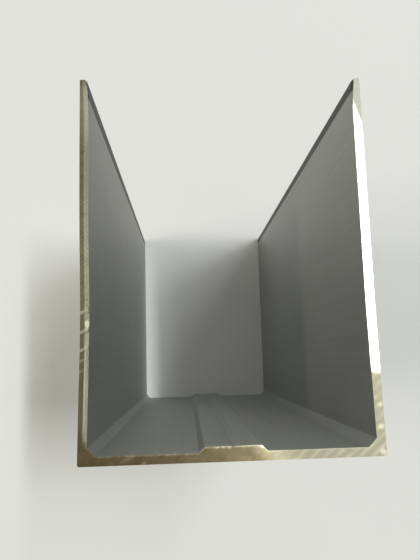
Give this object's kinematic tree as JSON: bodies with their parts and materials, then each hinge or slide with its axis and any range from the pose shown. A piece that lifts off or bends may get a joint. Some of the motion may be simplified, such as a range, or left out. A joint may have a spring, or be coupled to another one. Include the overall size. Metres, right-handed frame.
{
  "type": "aluminium extrusion profile",
  "caption": "Sawn offcut of extruded aluminium U channel with a raised, grooved pad along the inside of its web and a shallow taper inside each free edge.",
  "frame": {"origin": "centre of the section's bounding rectangle, on the lower sawn end", "axes": "+Z along the extrusion, +Y out of the channel's mouth, +X across the web"},
  "size_m": [0.061, 0.0804, 0.165],
  "materials": {
    "anodised_aluminium": "satin anodised, with bare sawn ends"
  },
  "bodies": {
    "root": {"channel_profile": "anodised_aluminium"}
  },
  "joints": []
}
